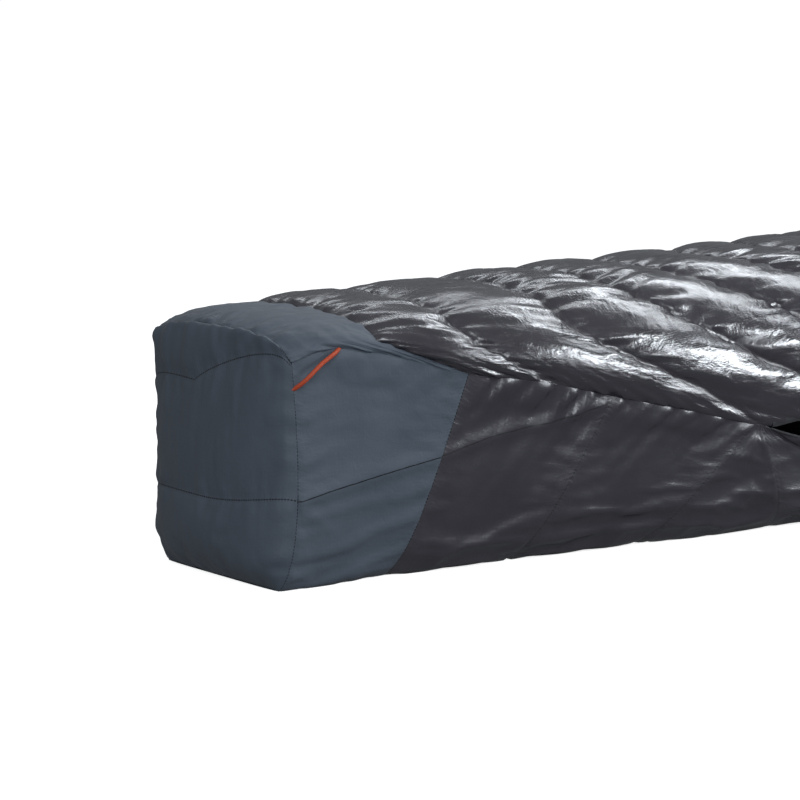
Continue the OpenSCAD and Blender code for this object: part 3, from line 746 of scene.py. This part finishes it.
def end_grid(rows_of, shares, depth, bulge, puff):
    """The end's grid, this deep inside the shell: points, share of the chamber, chamber."""
    lines = end_seams(shares)
    share, v, chamber = chamber_grid(lambda k, _: lines[k], 0, 3, rows_of, shares)
    u = np.broadcast_to(shares, share.shape)
    points = end_point(u, share, depth)
    # The bulge fades towards the sides, the bottom and the top, and leans back above the belly
    across = (1 - u**2).clip(0)
    belly = 1 - (1 - share / BELLY).clip(0) ** 3
    lean = 1 - LEAN * ((share - BELLY) / 0.7).clip(0, 1)
    shut = (1 - share**10).clip(0) ** 0.5
    full = fullness(v)
    out = bulge * across ** 0.5 * belly * lean * shut + puff * full * across ** 0.4
    points[..., 0] -= out * MM
    top = (chamber == 2)[:, None]
    points[..., 2] += END_TOP_PUFF * (puff > 0) * top * full * across ** 0.3 * MM
    return points, v, chamber


def end_panel():
    across = np.linspace(-1, 1, 74)
    points, v, chamber = end_grid(lambda k: END_ROWS[k], across, 0, END_BULGE, END_PUFF)
    return panel("footbox_end_panel", points, v, chamber, dict(MATT, pressure=1.6, grow=0.06))


# ---- Liners -------------------------------------------------------------------------------

QUILTED_IN = 6.0                                       # rise of a chamber towards the sleeper
TOP_LINER_IN, BASE_LINER_IN = WALL + 1, WALL + 4       # depth of the liners below the shell
LINER_ROWS = 8                                         # rows of quads in a liner's chamber


def liner_rows(_):
    return LINER_ROWS


def plain_piece(name, points, material):
    """A piece of cloth that isn't simulated."""
    obj = grid_mesh(name, points, cloth_uv(points))
    obj.data.materials.append(material)
    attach(obj, "quilt")
    return obj


def liner(name, points):
    return plain_piece(name, points, LINER)


def top_liner():
    across = np.linspace(0, 1, 90)
    s, u, _, _, lift = top_grid(0, N_TOP_CHAMBERS, liner_rows, across, QUILTED_IN)
    return liner("top_liner_sheet", section(s, top_angle(s, u), -TOP_LINER_IN - lift, REST + WALL))


def base_liner():
    s, w, _, _, lift = base_grid(0, N_BASE_CHAMBERS, liner_rows, W_FINE[::2], 0)
    return liner("base_liner_sheet", section(s, base_angle(w), -BASE_LINER_IN - lift, REST + WALL))


def end_liner():
    points, _, _ = end_grid(liner_rows, np.linspace(-1, 1, 40), WALL, END_BULGE - 10, -QUILTED_IN)
    return liner("end_liner_sheet", points)


# ---- Bindings -----------------------------------------------------------------------------

# Lines of a folded tape: share of the way from the outer to the inner line, then how far in
# from the edge and how far out from the cloth, in metres
TAPE_FOLD = [(0, 0.0115, 0.0012), (0, 0.010, 0.0022), (0, 0.004, 0.0024), (0, -0.0008, 0.0014),
             (0.25, -0.0022, 0), (0.5, -0.0027, 0), (0.75, -0.0022, 0), (1, -0.0008, -0.0014),
             (1, 0.004, -0.0024), (1, 0.010, -0.0022)]


def folded_tape(name, outer, inner, inward):
    """A tape folded over an edge: outer and inner are the edge's two lines, inward the way in."""
    unit = inward / np.linalg.norm(inward, axis=1, keepdims=True)
    thick = outer - inner
    up = thick / np.linalg.norm(thick, axis=1, keepdims=True)
    lines = [outer * (1 - share) + inner * share + unit * into + up * out
             for share, into, out in TAPE_FOLD]
    points = np.stack(lines, 1)
    points[..., 2] = np.maximum(points[..., 2], REST * MM)
    return plain_piece(name, points, TAPE)


def edge_tape(side):
    """The tape on a free edge of the top, from just past the side seam's end to the head."""
    s = np.linspace(PINCH + 7, HEAD, 260)
    angle = top_angle(s, 0.0)
    outer = section(s, angle, 0, REST)
    inner = section(s, angle, -WALL, REST + WALL)
    inward = section(s, angle + 2, 0, REST) - outer
    flip = np.array([1, -1 if side == "right" else 1, 1])
    return folded_tape("edge_tape_" + side, outer * flip, inner * flip, inward * flip)


def hem_tape():
    """The tape on the rounded end of the base."""
    w = np.linspace(-0.99, 0.99, 241)
    s = base_station(N_BASE_CHAMBERS, w)
    outer = section(s, base_angle(w), 0, REST)
    inner = section(s, base_angle(w), -WALL, REST + WALL)
    inward = section(s - 12, base_angle(w), 0, REST) - outer
    return folded_tape("hem_tape", outer, inner, inward)


def neck_tape():
    """The tape on the head edge of the top."""
    u = np.linspace(0, 1, 201)
    angle = top_angle(HEAD, u)
    outer = section(HEAD, angle, 0, REST)
    inner = section(HEAD, angle, -WALL, REST + WALL)
    return folded_tape("neck_tape", outer, inner, np.tile([-1.0, 0, 0], (len(u), 1)))


# ---- Tubes and bands ----------------------------------------------------------------------

LOOP_LOW = np.array((10, 255))                         # station and height of its ends
LOOP_HIGH = np.array((78, 300))
LOOP_BOW = 8.0                                         # away from the chord between its ends
LOOP_OUT, LOOP_DIP = 161.0, 15.0                       # across at its middle, less at its ends
CORD_RADIUS = 2.7
TUBE_START = (0.31, 0.87, 0.37)                        # a way that no path runs
COLLAR_RADIUS = 16.0
COLLAR_DEPTH, COLLAR_IN = 39.0, 23.0                   # below the shell, and in from the head edge
COLLAR_END = 0.085                                     # share across where the collar ends


def ring_mesh(name, rings, uv):
    """A closed tube from rings of points, with flat ends."""
    count, around = rings.shape[:2]
    index = np.arange(count * around).reshape(count, around)
    after = np.roll(index, -1, 1)
    quads = np.stack([index[:-1], index[1:], after[1:], after[:-1]], -1).reshape(-1, 4)
    faces = quads.tolist() + [index[0].tolist(), index[-1][::-1].tolist()]
    return new_mesh(name, rings, faces, uv, [True] * len(quads) + [False, False])


def tube_rings(path, radius, around, twist, strand):
    """Rings round a path, with small strands that wind along it."""
    along = np.gradient(path, axis=0)
    along /= np.linalg.norm(along, axis=1, keepdims=True)
    side = np.cross(along, TUBE_START)
    side /= np.linalg.norm(side, axis=1, keepdims=True)
    up = np.cross(along, side)
    turn = np.linspace(0, 2 * np.pi, around, endpoint=False)
    length = run_lengths(path[:, None], 0)
    knit = np.cos(3 * turn + twist * length) * np.cos(3 * turn - twist * length)
    r = radius[:, None] * (1 + strand * knit)
    rings = (path[:, None] + r[..., None] * (np.cos(turn)[:, None] * side[:, None]
                                             + np.sin(turn)[:, None] * up[:, None]))
    uv = np.stack(np.broadcast_arrays(turn / (2 * np.pi), length), -1)
    return rings, uv


def hang_loop(side):
    """A cord loop from the corner seam to the side seam, bowed away from its chord."""
    outward = 1 if side == "right" else -1
    t = np.linspace(-0.04, 1.04, 90)
    bow = LOOP_BOW * np.sin(np.pi * t.clip(0, 1))
    span = LOOP_HIGH - LOOP_LOW
    chord = span / math.hypot(*span)
    x = FOOT + LOOP_LOW[0] + span[0] * t - chord[1] * bow
    z = LOOP_LOW[1] + span[1] * t + chord[0] * bow
    across = LOOP_OUT - LOOP_DIP * np.abs(2 * t - 1) ** 3.0
    path = np.stack([x, outward * across, z], 1) * MM
    rings, uv = tube_rings(path, np.full(len(t), CORD_RADIUS * MM), 18, 900.0, 0.10)
    obj = ring_mesh("cord_loop_" + side, rings, uv)
    obj.data.materials.append(CORD)
    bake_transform(obj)
    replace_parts(obj, "hang_loop_" + side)


def draft_tube():
    """The filled collar inside the head edge."""
    u = np.linspace(COLLAR_END + 0.005, 1 - COLLAR_END - 0.005, 150)
    angle = top_angle(HEAD, u)
    rng = np.random.default_rng(31)
    radius = COLLAR_RADIUS + 1.6 * smooth_noise((len(u), 1), (50, 1), rng)[:, 0]
    radius *= (np.minimum(u - COLLAR_END, 1 - COLLAR_END - u) / 0.03).clip(0, 1) ** 0.4
    turn = np.linspace(0, 2 * np.pi, 24, endpoint=False)
    depth = COLLAR_DEPTH - radius[:, None] * np.sin(turn)
    station = np.full_like(depth, HEAD - COLLAR_IN)
    rings = section(station, angle[:, None] + 0 * turn, -depth, WALL + 4)
    rings[..., 0] += radius[:, None] * np.cos(turn) * MM
    along = np.broadcast_to(np.linspace(0, 1.2, len(u))[:, None], depth.shape)
    uv = np.stack([np.broadcast_to(turn * COLLAR_RADIUS * MM, depth.shape), along], -1)
    obj = ring_mesh("draft_tube", rings, uv)
    obj.data.materials.append(LINER)
    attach(obj, "quilt")
    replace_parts(obj, "draft_collar")


def band(node_name, name):
    """A webbing band in the place of a CAD one: rounded edges and a slight slackness."""
    low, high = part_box(node_name)
    y = np.linspace(low.y, high.y, 90)
    half = (high.x - low.x) / 2
    thick = (high.z - low.z) / 2
    turn = np.linspace(0, 2 * np.pi, 28, endpoint=False)
    across = half * np.sign(np.cos(turn)) * np.abs(np.cos(turn)) ** 0.35
    up = thick * np.sign(np.sin(turn)) * np.abs(np.sin(turn)) ** 0.8
    slack = 0.0005 * np.sin(y * 60)[:, None]
    x = (low.x + high.x) / 2 + across + 0 * y[:, None]
    z = (low.z + high.z) / 2 + up + slack
    rings = np.stack([x, y[:, None] + 0 * across, z], -1)
    uv = np.stack([across + 0 * y[:, None], y[:, None] + 0 * across], -1)
    obj = ring_mesh(name, rings, uv)
    obj.data.materials.append(WEBBING)
    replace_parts(obj, node_name)
    return obj


def fixed_band(node_name, name):
    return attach(band(node_name, name), "quilt")


def bending_band(node_name, name):
    """A band from the quilt's right edge to a moving piece."""
    obj = band(node_name, name)
    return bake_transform(obj)


# ---- The quilt ----------------------------------------------------------------------------


def fills(kind, first, last, digits):
    """Names of the CAD's numbered chamber fills."""
    return [f"{kind}_fill_{k:0{digits}d}" for k in range(first, last + 1)]


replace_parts(end_panel(), "footbox_end_shell", "end_fill_lower", "end_fill_middle",
            "end_fill_upper")
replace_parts(top_panel("footbox_top_panel", 0, 1, MATT), "footbox_top_shell", "top_fill_01")
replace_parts(base_panel("footbox_base_panel", 0, 1, MATT), "footbox_base_shell", "base_fill_1")
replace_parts(top_panel("top_shell_panel", 1, N_TOP_CHAMBERS, GLOSSY_TOP), "top_shell",
            "top_baffle_walls", *fills("top", 2, N_TOP_CHAMBERS, 2))
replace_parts(base_panel("base_shell_panel", 1, N_BASE_CHAMBERS, GLOSSY_BASE), "base_shell",
            "base_baffle_walls", *fills("base", 2, N_BASE_CHAMBERS, 1))
run_cloth()
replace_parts(top_liner(), "top_liner")
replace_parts(base_liner(), "base_liner")
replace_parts(end_liner(), "end_liner")
for side in ("left", "right"):
    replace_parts(edge_tape(side), "edge_binding_" + side)
    hang_loop(side)
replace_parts(hem_tape(), "base_hem_binding")
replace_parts(neck_tape(), "neck_binding")
draft_tube()
for place in ("hip", "chest"):
    fixed_band(place + "_strap_short", place + "_short_webbing")
    bending_band(place + "_strap_long", place + "_long_webbing")
    for part in ("_buckle_socket", "_buckle_plug", "_strap_adjuster"):
        finish_node(place + part, PLASTIC)
fixed_band("neck_tab_lower", "neck_webbing_lower")
bending_band("neck_tab_upper", "neck_webbing_upper")
finish_node("neck_snap_socket", METAL)
finish_node("neck_snap_cap", METAL)

# ---- Camera, light and floor --------------------------------------------------------------

CAMERA_AZIMUTH = math.radians(-38)
CAMERA_RISE = math.radians(9)
CAMERA_DISTANCE = 4.167
LIGHT_COLOUR = (0.90, 0.95, 1.0)
FLOOR_SIZE = 300
FLOOR_DROP = 0.0004                                    # keeps the floor clear of the cloth
target = Vector(((FOOT + 286) * MM, 0, 0.196))
back = Vector((math.sin(CAMERA_AZIMUTH) * math.cos(CAMERA_RISE),
               -math.cos(CAMERA_AZIMUTH) * math.cos(CAMERA_RISE), math.sin(CAMERA_RISE)))
camera = bpy.data.objects.new("camera", bpy.data.cameras.new("camera"))
scene.collection.objects.link(camera)
camera.location = target + back * CAMERA_DISTANCE
camera.rotation_mode = "QUATERNION"
camera.rotation_quaternion = (-back).to_track_quat("-Z", "Y")
camera.data.sensor_width = 36
camera.data.lens = 144
scene.camera = camera


def area_light(name, place, aim, size, power):
    light = bpy.data.lights.new(name, "AREA")
    light.color = LIGHT_COLOUR
    light.shape = "RECTANGLE"
    light.size, light.size_y = size
    light.energy = power
    obj = bpy.data.objects.new(name, light)
    scene.collection.objects.link(obj)
    obj.location = place
    obj.rotation_mode = "QUATERNION"
    obj.rotation_quaternion = (Vector(aim) - Vector(place)).to_track_quat("-Z", "Y")


area_light("back_strip", (0.9, 1.3, 2.0), (0, 0, 0.3), (2.6, 0.30), 11)
area_light("top_strip", (1.5, 0.3, 2.1), (-0.1, 0, 0.3), (2.0, 0.30), 15)
area_light("near_strip", (1.3, -1.7, 1.3), (-0.3, -0.2, 0.3), (1.4, 0.40), 42)
area_light("front_fill", (-2.4, -2.8, 1.7), (-0.6, 0, 0.2), (2.4, 1.6), 82)

world = bpy.data.worlds.new("studio")
world.use_nodes = True
sky = world.node_tree
sky_place = node(sky, "ShaderNodeTexCoord").outputs["Generated"]
sky_up = node(sky, "ShaderNodeSeparateXYZ", {0: sky_place}).outputs[2]
sky_light = node(sky, "ShaderNodeMapRange",
                 {"Value": sky_up, "From Min": 0.1, "From Max": 1.0,
                  "To Min": 0.20, "To Max": 0.34}).outputs[0]
sky.links.new(sky_light, sky.nodes["Background"].inputs[1])
sky.nodes["Background"].inputs[0].default_value = (*LIGHT_COLOUR, 1)
scene.world = world
scene.view_settings.view_transform = "Standard"

bpy.ops.mesh.primitive_plane_add(size=FLOOR_SIZE, location=(0, 0, -FLOOR_DROP))
floor = bpy.context.object
floor.name = "floor"
floor_mat, _, floor_bsdf = new_material("pale_floor")
floor_bsdf.inputs["Base Color"].default_value = (0.60, 0.60, 0.60, 1)
floor_bsdf.inputs["Roughness"].default_value = 0.9
floor_bsdf.inputs["Emission Color"].default_value = (1, 1, 1, 1)
floor_bsdf.inputs["Emission Strength"].default_value = 0.85
floor.data.materials.append(floor_mat)
floor.visible_glossy = False
floor.visible_diffuse = False
